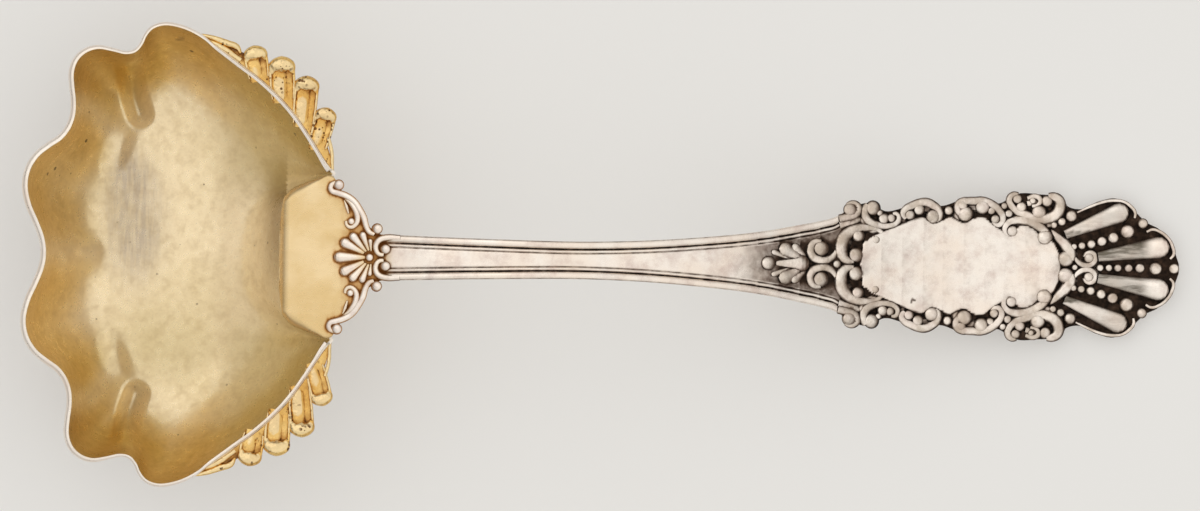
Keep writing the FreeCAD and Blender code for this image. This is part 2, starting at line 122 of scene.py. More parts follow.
FLARE_STRANDS = (
    (((95.1, 2.4), (94.7, 1.3), (93.7, 0.62), (92.5, 0.62), (91.5, 1.25), (91.3, 2.35), (91.95, 3.2),
      (92.8, 3.2)), (0.14, 0.3, 0.42, 0.48, 0.48, 0.45, 0.4, 0.34)),
    (((97.7, 0.55), (96.7, 0.6), (95.95, 1.3), (95.75, 2.4), (96.0, 3.6), (96.9, 4.7), (98.2, 5.3),
      (99.6, 5.45), (100.9, 5.3), (101.7, 4.75), (101.95, 4.0), (101.6, 3.25), (100.95, 3.0),
      (100.4, 3.3)), (0.4, 0.5, 0.6, 0.68, 0.7, 0.62, 0.52, 0.42, 0.36, 0.33, 0.31, 0.28, 0.25, 0.2)),
    (((95.4, 6.65), (96.9, 7.0), (97.9, 7.45), (98.25, 8.1), (97.95, 8.75), (97.2, 8.95), (96.5, 8.6)),
     (0.46, 0.46, 0.44, 0.4, 0.36, 0.32, 0.28)),
    (((99.7, 8.75), (99.2, 7.9), (99.35, 6.9), (100.2, 6.1), (101.5, 5.75), (102.8, 5.75), (103.8, 6.15),
      (104.2, 6.9), (103.85, 7.5), (103.3, 7.5)), (0.44, 0.46, 0.46, 0.44, 0.4, 0.36, 0.34, 0.31, 0.27, 0.2)),
)
FLARE_BALLS = (
    (92.75, 2.25, 0.92), (97.95, 1.35, 0.86), (98.25, 4.2, 0.7), (100.9, 3.65, 0.5), (97.05, 8.0, 0.82),
    (100.35, 8.3, 0.86), (102.0, 6.75, 0.62), (103.1, 6.85, 0.5), (101.4, 7.6, 0.36),
)
LEAF_PETALS = (
    ((87.6, 2.0), (90.4, 0.45), 1.0), ((85.9, 1.6), (88.8, 0.5), 0.4), ((89.0, 2.3), (90.6, 0.9), 0.6),
)

BORDER_STRANDS = (
    (((105.3, 6.85), (104.85, 7.45), (105.2, 8.2), (106.2, 8.75), (107.3, 9.15), (108.3, 9.25),
      (109.3, 8.8), (110.0, 8.1), (110.15, 7.2), (109.7, 6.5)),
     (0.24, 0.3, 0.34, 0.38, 0.4, 0.4, 0.4, 0.38, 0.36, 0.3)),
    (((113.1, 9.0), (114.2, 9.5), (115.4, 9.55), (116.6, 9.6), (118.1, 9.0), (119.15, 8.1), (119.6, 7.1),
      (119.3, 6.3), (118.6, 6.15), (118.1, 6.6)),
     (0.3, 0.36, 0.38, 0.38, 0.38, 0.36, 0.34, 0.3, 0.26, 0.2)),
    (((115.3, 9.7), (113.9, 9.65), (113.0, 9.0), (113.1, 8.0), (114.0, 7.4)), (0.15, 0.3, 0.36, 0.38, 0.32)),
    (((121.9, 10.6), (121.1, 10.55), (120.6, 9.95), (120.8, 9.05), (121.6, 8.25), (123.0, 7.6),
      (124.6, 7.1), (126.2, 7.15), (127.5, 7.8), (128.05, 8.85), (127.9, 9.85), (127.1, 10.35),
      (126.3, 10.35)),
     (0.22, 0.3, 0.34, 0.38, 0.4, 0.42, 0.46, 0.5, 0.52, 0.5, 0.46, 0.4, 0.34)),
    (((123.2, 10.1), (124.3, 10.4), (125.1, 9.9), (124.8, 9.15), (123.9, 8.95)),
     (0.18, 0.24, 0.25, 0.22, 0.16)),
    (((121.4, 4.5), (120.5, 4.5), (119.95, 5.3), (120.25, 6.25), (121.3, 6.8), (122.7, 6.85),
      (124.0, 6.5), (125.2, 5.8), (126.3, 4.8)), (0.2, 0.26, 0.3, 0.34, 0.38, 0.42, 0.44, 0.44, 0.36)),
    (((126.7, 5.5), (127.9, 4.3), (129.0, 3.2), (129.65, 2.0), (129.5, 1.1)), (0.12, 0.38, 0.52, 0.55, 0.5)),
    (((130.2, 1.6), (130.9, 0.75), (132.0, 0.3), (133.0, 0.65), (133.35, 1.5), (132.9, 2.15),
      (132.1, 2.1), (131.8, 1.6)), (0.12, 0.24, 0.28, 0.28, 0.26, 0.24, 0.2, 0.16)),
)
BORDER_BALLS = (
    (105.85, 7.4, 0.55), (107.2, 8.2, 0.62), (109.3, 7.2, 0.8), (111.6, 8.1, 0.48), (114.05, 7.65, 0.86),
    (113.6, 8.9, 0.6), (116.6, 8.75, 0.82), (118.5, 6.95, 0.5), (117.9, 8.2, 0.44), (119.8, 8.9, 0.36),
    (120.5, 7.8, 0.44), (121.7, 9.95, 0.52), (122.3, 8.75, 0.6), (124.0, 9.75, 0.34), (124.95, 8.0, 0.82),
    (126.1, 9.7, 0.62), (121.05, 5.2, 0.62), (125.85, 4.4, 0.88), (129.0, 1.25, 0.9), (132.45, 1.4, 0.55),
)

FAN_BALLS = (
    (127.2, 6.2, 0.42), (128.35, 6.7, 0.52), (129.75, 7.55, 0.72),
    (130.2, 3.05, 0.4), (131.35, 3.2, 0.47), (132.75, 3.45, 0.56), (134.3, 3.9, 0.62), (136.0, 4.45, 0.7),
    (138.05, 5.4, 0.9), (140.3, 6.6, 0.64),
)
AXIS_BALLS = (
    (26.5, 0.56), (85.05, 0.98), (95.15, 0.55), (130.35, 0.42), (134.1, 0.5), (135.4, 0.5), (136.7, 0.56),
    (138.3, 0.6), (139.95, 0.7), (142.25, 0.93), (144.95, 0.74),
)
FLUTES = (((136.75, 8.1), (128.9, 4.8), 1.52, 0.7), ((142.65, 3.1), (133.8, 1.6), 1.66, 0.76))
FAN_STRANDS = (
    (((130.6, 8.1), (132.4, 8.95), (134.6, 9.75), (136.2, 9.95), (137.5, 9.75), (138.5, 9.1),
      (139.15, 8.2), (139.1, 7.4)), (0.14, 0.22, 0.26, 0.26, 0.26, 0.26, 0.26, 0.2)),
    (((140.9, 5.4), (141.7, 5.75), (142.9, 5.4), (144.0, 4.5), (144.75, 3.2), (144.9, 2.1),
      (144.4, 1.45)), (0.2, 0.24, 0.26, 0.28, 0.28, 0.26, 0.2)),
)

# Single lobes on the handle's middle line.
MIDDLE_LOBES = (((22.1, 0), (25.9, 0), 0.95), ((89.9, 0), (86.0, 0), 1.3, 0.4))

# How much thicker each group of the ornament is drawn than its radii say.
STRANDS = ((NECK_STRANDS, 1.25), (FLARE_STRANDS, 1.45), (BORDER_STRANDS, 1.75), (FAN_STRANDS, 1.0))
LOBES = ((PETALS, 1.0), (LEAF_PETALS, 1.2))
BALLS = ((NECK_BALLS, 1.15), (FLARE_BALLS, 1.35), (BORDER_BALLS, 1.45), (FAN_BALLS, 1.25))

# Folds pressed into the bowl on one side, each as its line, half its width and its height.
FOLDS = (
    (((-9.6, 30.0), (-9.3, 26.0), (-8.6, 22.6), (-7.9, 20.6)), 2.4, 2.6),
    (((-17.4, 22.4), (-14.2, 20.6), (-11.6, 17.8), (-9.4, 14.2)), 5.0, 1.5),
    (((-22.0, 0.0), (-19.0, 0.0), (-15.5, 0.0)), 4.2, 0.9),
)

# Tip and root of each gadroon of one shoulder, with its radius.
GADROONS = (
    ((9.35, 29.4), (9.95, 25.95), 1.62), ((13.25, 27.7), (13.5, 22.85), 1.8),
    ((16.95, 25.0), (16.5, 19.3), 1.68), ((19.8, 20.6), (18.6, 15.9), 1.45),
)

# A gadroon's hood: steps across and outward from its tip, and thickness, as shares of its radius.
HOOD = ((0.9, -0.5, 0.16), (0.62, 0.02, 0.56), (0, 0.22, 0.7), (-0.62, 0.02, 0.56), (-0.9, -0.5, 0.16))

# Strands that close the border of a shoulder at its ends.
SHOULDER_STRANDS = (
    (((0.6, 32.4), (3.0, 31.9), (5.2, 31.1), (6.6, 30.6), (7.2, 29.7)), (0.15, 0.35, 0.5, 0.45, 0.2)),
    (((20.2, 17.5), (20.75, 15.4), (20.85, 13.4), (20.9, 12.0)), (0.3, 0.28, 0.25, 0.2)),
    (((2.2, 31.6), (4.6, 30.4), (7.2, 28.6)), (0.2, 0.5, 0.4)),
)

# Small dark scratches, on the bowl's rim and on the cartouche.
RIM_NICK = ((-3.0, 30.5), (-2.3, 31.5), (-1.5, 31.8))
CARTOUCHE_NICK = ((106.2, -5.5), (106.35, -4.95), (106.75, -5.2))


def smooth_line(stations):
    """A smooth line through (x, y) stations, as a function that takes arrays."""
    xs, ys = np.array(stations, float).T
    slopes = np.gradient(ys, xs)

    def line(x):
        x = np.clip(x, xs[0], xs[-1])
        i = np.clip(np.searchsorted(xs, x) - 1, 0, len(xs) - 2)
        step = xs[i + 1] - xs[i]
        t = (x - xs[i]) / step
        return (
            (2 * t**3 - 3 * t**2 + 1) * ys[i] + (t**3 - 2 * t**2 + t) * step * slopes[i]
            + (3 * t**2 - 2 * t**3) * ys[i + 1] + (t**3 - t**2) * step * slopes[i + 1]
        )

    return line


half_width = smooth_line(HALF_WIDTH)
top_line = smooth_line(TOP)
thickness = smooth_line(THICKNESS)
cartouche = smooth_line(CARTOUCHE)


def smooth_step(low, high, value):
    """0 below low, 1 above high and a soft rise between them."""
    t = np.clip((value - low) / (high - low), 0, 1)
    return t * t * (3 - 2 * t)


def bell(value, width):
    """1 where the value is 0, and fading away from it over the width."""
    return np.exp(-((value / width) ** 2))


def patch(x, y, middle, size):
    """A soft round patch: 1 in its middle, fading over its two half sizes."""
    return np.exp(-(((x - middle[0]) / size[0]) ** 2) - ((y - middle[1]) / size[1]) ** 2)


def way_along(points):
    """How far along its bent line each point lies."""
    return np.concatenate([[0], np.cumsum(np.linalg.norm(np.diff(points, axis=0), axis=1))])


def spots_on(points, ways, at):
    """The spots at the given ways along a bent line, whose points lie at ways."""
    return np.column_stack([np.interp(at, ways, points[:, i]) for i in (0, 1)])


def along(points):
    """Spots at close steps along a bent line."""
    points = np.array(points, float)
    knots = np.arange(len(points))
    return spots_on(points, knots, np.linspace(0, knots[-1], 24))


def distance_to(line, spots):
    """How far each spot lies from the nearest point of a line, seen from above."""
    nearest = np.full(len(spots), np.inf)
    for x, y in line:
        nearest = np.minimum(nearest, (spots[:, 0] - x) ** 2 + (spots[:, 1] - y) ** 2)
    return np.sqrt(nearest)


def distance_to_pair(points, spots):
    """How far each spot lies from a bent line or from its mirror image, whichever is nearer."""
    line = along(points)
    return np.minimum(distance_to(line, spots), distance_to(line * (1, -1), spots))


def closed_outline(points, count):
    """count points at even steps along a smooth closed line through the given ones."""
    knots = np.array(points, float)
    before, after, beyond = np.roll(knots, 1, 0), np.roll(knots, -1, 0), np.roll(knots, -2, 0)
    t = np.linspace(0, 1, 24, endpoint=False)[:, None, None]
    line = 0.5 * (
        2 * knots + (after - before) * t + (2 * before - 5 * knots + 4 * after - beyond) * t**2
        + (3 * knots - before - 3 * after + beyond) * t**3
    )
    line = line.transpose(1, 0, 2).reshape(-1, 2)
    line = np.vstack([line, line[:1]])
    ways = way_along(line)
    return spots_on(line, ways, np.linspace(0, ways[-1], count, endpoint=False))


def blurred(values, width):
    """A closed row of points smoothed over width of its steps."""
    reach = int(3 * width)
    weights = np.exp(-0.5 * (np.arange(-reach, reach + 1) / width) ** 2)
    weights /= weights.sum()
    padded = np.concatenate([values[-reach:], values, values[:reach]])
    return np.column_stack([np.convolve(padded[:, i], weights, "valid") for i in (0, 1)])


def sheet(columns, rows):
    """A bmesh grid of unit size with its lower corner at the origin."""
    bm = bmesh.new()
    bmesh.ops.create_grid(bm, x_segments=columns, y_segments=rows, size=0.5)
    bmesh.ops.translate(bm, verts=bm.verts, vec=(0.5, 0.5, 0))
    return bm


def place(bm, where):
    """Moves every vertex to where(its coordinates), which are given and returned as arrays."""
    spots = where(np.array([v.co for v in bm.verts]))
    for v, spot in zip(bm.verts, spots):
        v.co = spot


def backed(bm):
    """Gives an open sheet a second side and returns that side's vertices."""
    grown = bmesh.ops.extrude_face_region(bm, geom=list(bm.faces))
    return [g for g in grown["geom"] if isinstance(g, bmesh.types.BMVert)]


def add(bm, more):
    """Adds the second bmesh to the first and frees it."""
    mesh = bpy.data.meshes.new("more")
    more.to_mesh(mesh)
    more.free()
    bm.from_mesh(mesh)
    bpy.data.meshes.remove(mesh)


def finished(bm, name):
    """The bmesh as a smooth-shaded object in metres."""
    bmesh.ops.scale(bm, vec=(MM, MM, MM), verts=bm.verts)
    mesh = bpy.data.meshes.new(name)
    bm.to_mesh(mesh)
    bm.free()
    mesh.shade_smooth()
    piece = bpy.data.objects.new(name, mesh)
    bpy.context.scene.collection.objects.link(piece)
    return piece


def baked(piece):
    """Puts what the piece's modifiers make into its mesh."""
    depsgraph = bpy.context.evaluated_depsgraph_get()
    mesh = bpy.data.meshes.new_from_object(piece.evaluated_get(depsgraph))
    piece.modifiers.clear()
    piece.data = mesh


def vertex_rows(piece, name):
    """What the piece's vertices hold under that name, three numbers to a row."""
    rows = np.empty(len(piece.data.vertices) * 3, np.float32)
    piece.data.vertices.foreach_get(name, rows)
    return rows.reshape(-1, 3)


def vertex_spots(piece):
    """The places of the piece's vertices in millimetres."""
    return vertex_rows(piece, "co") / MM


def set_mark(piece, name, values):
    """Writes one number for each vertex, which the materials read."""
    mark = piece.data.attributes.new(name, "FLOAT", "POINT")
    mark.data.foreach_set("value", np.asarray(values, np.float32))


def change_mark(piece, name, change):
    """Lets change work on the numbers of one mark."""
    mark = piece.data.attributes[name].data
    values = np.empty(len(mark), np.float32)
    mark.foreach_get("value", values)
    mark.foreach_set("value", change(values).astype(np.float32))


def belongs(piece, material):
    """Fixes the piece to the ladle and gives it its material."""
    piece.data.materials.clear()
    piece.data.materials.append(material)
    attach(piece, "root")
    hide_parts("ladle")


def tubes(strands):
    """A bmesh of round tapering tubes along flat smooth strands."""
    line = bpy.data.curves.new("strands", "CURVE")
    line.dimensions = "3D"
    line.bevel_depth, line.bevel_resolution = 1.0, 4
    line.resolution_u = 5
    line.use_fill_caps = True
    for points, radii in strands:
        spline = line.splines.new("BEZIER")
        spline.bezier_points.add(len(points) - 1)
        for knot, point, radius in zip(spline.bezier_points, points, radii):
            knot.co = (point[0], point[1], 0)
            knot.handle_left_type = knot.handle_right_type = "AUTO"
            knot.radius = radius
    holder = bpy.data.objects.new("strands", line)
    bpy.context.scene.collection.objects.link(holder)
    depsgraph = bpy.context.evaluated_depsgraph_get()
    mesh = bpy.data.meshes.new_from_object(holder.evaluated_get(depsgraph))
    bm = bmesh.new()
    bm.from_mesh(mesh)
    bpy.data.objects.remove(holder)
    bpy.data.meshes.remove(mesh)
    bpy.data.curves.remove(line)
    return bm


def add_balls(bm, balls, sides=20):
    """Adds a round ball to the bmesh for each (x, y, radius)."""
    one = bmesh.new()
    bmesh.ops.create_uvsphere(one, u_segments=sides, v_segments=sides * 3 // 5, radius=1.0)
    unit = bpy.data.meshes.new("ball")
    one.to_mesh(unit)
    one.free()
    for x, y, radius in balls:
        copy = unit.copy()
        copy.transform(Matrix.Translation((x, y, 0)) @ Matrix.Scale(radius, 4))
        bm.from_mesh(copy)
        bpy.data.meshes.remove(copy)
    bpy.data.meshes.remove(unit)


def teardrop(tip, root, radius, root_radius=None):
    """A strand that swells from its root to a round tip."""
    tip, root = Vector(tip), Vector(root)
    axis = (root - tip).normalized()
    length = (root - tip).length
    root_radius = radius * 0.32 if root_radius is None else root_radius
    round_end = (-0.97, -0.8, -0.45, 0.0)
    points = [tip + axis * radius * share for share in round_end]
    radii = [radius * math.sqrt(1 - share * share) for share in round_end]
    for share in (0.35, 0.7, 1.0):
        points.append(tip + axis * length * share)
        radii.append(radius + (root_radius - radius) * share)
    return points, radii


def both(strands):
    """The strands with their mirror images."""
    return [s for strand in strands for s in (strand, ([(p[0], -p[1]) for p in strand[0]], strand[1]))]


def broader(strands, share):
    """The strands with their radii times share."""
    return [(points, [radius * share for radius in radii]) for points, radii in strands]


def relief_height(radius):
    """How far a strand or ball of that radius stands out."""
    return 0.24 + 0.42 * radius


def linked_forms(bm):
    """The bmesh's separate forms, each as a list of its vertices."""
    seen = set()
    for start in bm.verts:
        if start in seen:
            continue
        form, queue = [], [start]
        seen.add(start)
        while queue:
            v = queue.pop()
            form.append(v)
            fresh = [other for other in (edge.other_vert(v) for edge in v.link_edges) if other not in seen]
            seen.update(fresh)
            queue.extend(fresh)
        yield form


def raised(bm, flatness=0.7, height=relief_height):
    """Lets each flat-lying form stand out by its own height, then lays it on the handle."""
    bmesh.ops.scale(bm, vec=(1, 1, flatness), verts=bm.verts)
    for form in linked_forms(bm):
        top = max(v.co.z for v in form)
        sink = top - height(top / flatness)
        for v in form:
            v.co.z -= sink
    place(bm, lambda at: at + np.outer(top_line(at[:, 0]), (0, 0, 1)))


class HeightMap:
    """The heights of the struck side on a fine grid, which tell how deep a spot lies in the relief."""

    STEP = 0.1
    MARGIN = 3
    NOTHING = -1e3

    # Places on a face, as the weights of its corners, close enough to fill the grid.
    WEIGHTS = (
        (1, 0, 0), (0, 1, 0), (0, 0, 1), (1 / 3, 1 / 3, 1 / 3), (0.5, 0.5, 0), (0, 0.5, 0.5), (0.5, 0, 0.5),
        (0.6, 0.2, 0.2), (0.2, 0.6, 0.2), (0.2, 0.2, 0.6),
    )

    def __init__(self, pieces):
        spots = []
        for piece in pieces:
            mesh = piece.data
            mesh.calc_loop_triangles()
            corners = np.empty(len(mesh.loop_triangles) * 3, np.int32)
            mesh.loop_triangles.foreach_get("vertices", corners)
            faces = vertex_spots(piece)[corners.reshape(-1, 3)]
            up = np.cross(faces[:, 1] - faces[:, 0], faces[:, 2] - faces[:, 0])[:, 2] > 0
            for weights in self.WEIGHTS:
                spots.append(np.tensordot(faces[up], np.array(weights), axes=((1,), (0,))))
        spots = np.vstack(spots)
        self.low = spots[:, :2].min(0) - self.MARGIN
        size = ((spots[:, :2].max(0) + self.MARGIN - self.low) / self.STEP).astype(int) + 1
        self.heights = np.full(size, self.NOTHING)
        cells = ((spots[:, :2] - self.low) / self.STEP).astype(int)
        np.maximum.at(self.heights, (cells[:, 0], cells[:, 1]), spots[:, 2])

    def around(self, width):
        """The mean height around each cell."""
        known = self.heights > self.NOTHING / 2
        reach = int(3 * width / self.STEP)
        weights = np.exp(-0.5 * (np.arange(-reach, reach + 1) * self.STEP / width) ** 2)
        total, share = np.where(known, self.heights, 0.0), known.astype(float)
        for axis in (0, 1):
            total = np.apply_along_axis(np.convolve, axis, total, weights, "same")
            share = np.apply_along_axis(np.convolve, axis, share, weights, "same")
        return total / np.maximum(share, 1e-6)

    def at(self, values, spots):
        """What the grid's values say at the spots."""
        cells = np.clip(((spots[:, :2] - self.low) / self.STEP).astype(int), 0, np.array(values.shape) - 1)
        return values[cells[:, 0], cells[:, 1]]


def mark_recesses(pieces):
    """Writes on each vertex how deep it lies below the relief around it, close by and farther off."""
    heights = HeightMap(pieces)
    near, wide = heights.around(0.35), heights.around(1.1)
    for piece in pieces:
        spots = vertex_spots(piece)
        upward = vertex_rows(piece, "normal")[:, 2] > 0.2
        deep = np.clip((heights.at(near, spots) - spots[:, 2]) / 0.3, 0, 1)
        broad = np.clip((heights.at(wide, spots) - spots[:, 2] + 0.05) / 0.5, 0, 1)
        set_mark(piece, "recess", deep * upward)
        set_mark(piece, "hollow", broad * upward)


# Materials

class Nodes:
    """A node tree with short calls for its nodes and links."""

    def __init__(self, tree):
        self.tree = tree

    def feed(self, node, **inputs):
        """Links or sets each input, named with _ for a space, or with _ and its number."""
        for key, value in inputs.items():
            socket = node.inputs[int(key[1:]) if key[1:].isdigit() else key.replace("_", " ")]
            if isinstance(value, bpy.types.NodeSocket):
                self.tree.links.new(value, socket)
            else:
                socket.default_value = value
        return node

    def new(self, kind, settings=None, **inputs):
        node = self.tree.nodes.new("ShaderNode" + kind)
        for key, value in (settings or {}).items():
            setattr(node, key, value)
        return self.feed(node, **inputs)

    def group(self, name, maker, **inputs):
        """The outputs of the group of that name, which its maker builds once."""
        node = self.tree.nodes.new("ShaderNodeGroup")
        node.node_tree = bpy.data.node_groups.get(name) or maker(name)
        return self.feed(node, **inputs).outputs

    def math(self, operation, first, second=0.0):
        return self.new("Math", {"operation": operation}, _0=first, _1=second).outputs[0]

    def blend(self, factor, first, second):
        return self.new("Mix", {"data_type": "RGBA"}, Factor=factor, _6=first, _7=second).outputs[2]

    def layered(self, colour, *layers):
        """The colour with others laid over it, each by its own factor."""
        for factor, over in layers:
            colour = self.blend(factor, colour, over)
        return colour

    def between(self, value, low, high, to_low=0.0, to_high=1.0):
        return self.new(
            "MapRange", {"interpolation_type": "SMOOTHSTEP"}, Value=value, From_Min=low, From_Max=high,
            To_Min=to_low, To_Max=to_high).outputs[0]

    def attribute(self, name):
        return self.new("Attribute", {"attribute_name": name}).outputs["Fac"]

    def coordinates(self):
        return self.new("TexCoord").outputs["Object"]

    def noise(self, at, scale, detail=3.0, roughness=0.55):
        return self.new("TexNoise", Vector=at, Scale=scale, Detail=detail, Roughness=roughness).outputs["Fac"]

    def bump(self, height, strength, distance, **under):
        return self.new("Bump", Height=height, Strength=strength, Distance=distance, **under).outputs[0]


def new_group(name, inputs, outputs):
    """A shader node group with those inputs and outputs: it, its Nodes, what it is given and its end node."""
    tree = bpy.data.node_groups.new(name, "ShaderNodeTree")
    kinds = {"FLOAT": "NodeSocketFloat", "COLOR": "NodeSocketColor", "VECTOR": "NodeSocketVector"}
    for label, kind, default in inputs:
        socket = tree.interface.new_socket(name=label, in_out="INPUT", socket_type=kinds[kind])
        socket.default_value = default
    for label, kind in outputs:
        tree.interface.new_socket(name=label, in_out="OUTPUT", socket_type=kinds[kind])
    return tree, Nodes(tree), tree.nodes.new("NodeGroupInput").outputs, tree.nodes.new("NodeGroupOutput")


def patina_and_shade_group(name):
    """Dark oxide in the hollows, and the painted shade that the hollow input also carries, broken up by
    noise.
    """
    tree, nodes, given, out = new_group(
        name,
        [("Recess", "FLOAT", 0.0), ("Hollow", "FLOAT", 0.0), ("Amount", "FLOAT", 1.0),
         ("Breakup", "FLOAT", 0.35), ("Clean Colour", "COLOR", (0.9, 0.86, 0.8, 1)),
         ("Stain Colour", "COLOR", (0.25, 0.14, 0.06, 1)),
         ("Dark Colour", "COLOR", (0.012, 0.008, 0.005, 1))],
        [("Colour", "COLOR"), ("Mask", "FLOAT")])
    grain = nodes.noise(nodes.coordinates(), 900.0, 4.0, 0.6)
    shift = nodes.math("MULTIPLY", nodes.math("SUBTRACT", grain, 0.5), given["Breakup"])
    deep = nodes.math("ADD", nodes.math("MULTIPLY", given["Recess"], given["Amount"]), shift)
    hollow = nodes.math("ADD", given["Hollow"], shift)
    broad = nodes.between(hollow, 0.2, 0.95)
    stain = nodes.math("MULTIPLY", nodes.between(deep, 0.1, 0.55), 0.8)
    warm = nodes.blend(nodes.math("MAXIMUM", stain, nodes.math("MULTIPLY", broad, 0.95)),
                       given["Clean Colour"], given["Stain Colour"])
    black = nodes.math("MAXIMUM", nodes.between(deep, 0.35, 0.8), nodes.between(hollow, 0.66, 1.12))
    nodes.feed(out, Colour=nodes.blend(black, warm, given["Dark Colour"]),
               Mask=nodes.math("MAXIMUM", black, nodes.math("MULTIPLY", broad, 0.6)))
    return tree


def wear_group(name):
    """Fine scratches, rubbed patches and dark specks of long use."""
    tree, nodes, given, out = new_group(
        name,
        [("Scratch Scale", "FLOAT", 900.0), ("Stretch", "VECTOR", (1, 1, 1)), ("Patch Scale", "FLOAT", 60.0),
         ("Speck Scale", "FLOAT", 500.0), ("Speck Share", "FLOAT", 0.05)],
        [("Scratches", "FLOAT"), ("Patches", "FLOAT"), ("Specks", "FLOAT"), ("Height", "FLOAT")])
    at = nodes.coordinates()
    stretched = nodes.new("Mapping", Vector=at, Scale=given["Stretch"]).outputs[0]
    scratches = nodes.noise(stretched, given["Scratch Scale"], 5.0, 0.7)
    cells = nodes.new("TexVoronoi", Vector=at, Scale=given["Speck Scale"])
    size = nodes.math("MULTIPLY", cells.outputs["Color"], given["Speck Share"])
    nodes.feed(out, Scratches=scratches, Patches=nodes.noise(at, given["Patch Scale"], 4.0, 0.6),
               Specks=nodes.math("LESS_THAN", cells.outputs["Distance"], size), Height=scratches)
    return tree


def material(name):
    """A new material, its Nodes and its main shader."""
    made = bpy.data.materials.new(name)
    made.use_nodes = True
    return made, Nodes(made.node_tree), made.node_tree.nodes["Principled BSDF"]


def rgb(*parts):
    """An sRGB colour of 0 to 255 as the linear one with alpha."""
    parts = [part / 255 for part in parts]
    return tuple(c / 12.92 if c <= 0.04045 else ((c + 0.055) / 1.055) ** 2.4 for c in parts) + (1.0,)


def gilt_bowl_material(looks):
    """Gilding, deep on the walls, where its deep tone also paints their shade, and rubbed pale below, with
    painted shade beside the tab, along a fold and under the rims, a bare rim and a silver outside.
    """
    made, nodes, shader = material("gilt_bowl")
    wear = nodes.group("Table Wear", wear_group, Scratch_Scale=700.0, Patch_Scale=90.0,
                       Speck_Scale=420.0, Speck_Share=0.09)
    fine = nodes.group("Table Wear", wear_group, Scratch_Scale=1500.0, Stretch=(1, 0.12, 1),
                       Patch_Scale=45.0, Speck_Scale=220.0, Speck_Share=0.11)
    shift = nodes.math("MULTIPLY", nodes.math("SUBTRACT", wear["Patches"], 0.5), 0.5)
    deep = nodes.between(nodes.math("ADD", nodes.attribute("gilding"), shift), 0.0, 1.0)
    rubbed = nodes.math("ADD", nodes.attribute("rubbed"), nodes.math("MULTIPLY", shift, 0.6))
    scratched = nodes.between(fine["Scratches"], 0.35, 0.65, 0.55, 1.0)
    rubbed = nodes.math("MULTIPLY", nodes.between(rubbed, 0.05, 0.9), scratched)
    specks = nodes.math("MAXIMUM", nodes.math("MULTIPLY", wear["Specks"], 0.5),
                        nodes.math("MULTIPLY", fine["Specks"], 0.8))
    outside = nodes.attribute("outside")
    tarnished = nodes.between(wear["Patches"], 0.35, 0.7)
    silver = nodes.blend(tarnished, (*looks.silver, 1), (*looks.warm_silver, 1))
    # deep gold by the gilding mark: thick gilding, and partly painted shade of the steep walls
    colour = nodes.layered(
        nodes.blend(deep, (*looks.worn_gold, 1), (*looks.gold, 1)),
        (nodes.math("MULTIPLY", rubbed, 0.9), rgb(188, 174, 158)),
        # painted shade beside the tab, along a fold and on the walls under the rim, with a few real nicks
        (nodes.math("MULTIPLY", nodes.attribute("painted_shade_and_nicks"), 0.75), rgb(120, 88, 42)),
        (nodes.math("MULTIPLY", nodes.attribute("olive"), 0.45), rgb(176, 158, 88)),
        (nodes.attribute("edge"), (*looks.rim_silver, 1)),
        (nodes.between(fine["Patches"], 0.35, 0.7, 0.0, 0.26), rgb(196, 172, 108)),
        (nodes.between(wear["Scratches"], 0.4, 0.72, 0.0, 0.24), rgb(150, 118, 62)),
        (nodes.between(fine["Scratches"], 0.66, 0.74, 0.0, 0.3), rgb(120, 92, 56)),
        (specks, rgb(84, 62, 36)),
        (outside, silver))
    satin = nodes.between(nodes.attribute("satin"), 0.0, 1.0, 0.55, 0.1)
    metal = nodes.math("ADD", nodes.math("MULTIPLY", deep, 0.4), satin)
    nodes.feed(
        shader, Base_Color=colour,
        Metallic=nodes.math("MAXIMUM", metal, nodes.math("MULTIPLY", outside, 0.95)),
        Roughness=nodes.between(wear["Scratches"], 0.3, 0.75, 0.25, 0.42),
        Normal=nodes.bump(wear["Height"], 0.12, 0.0002))
    return made


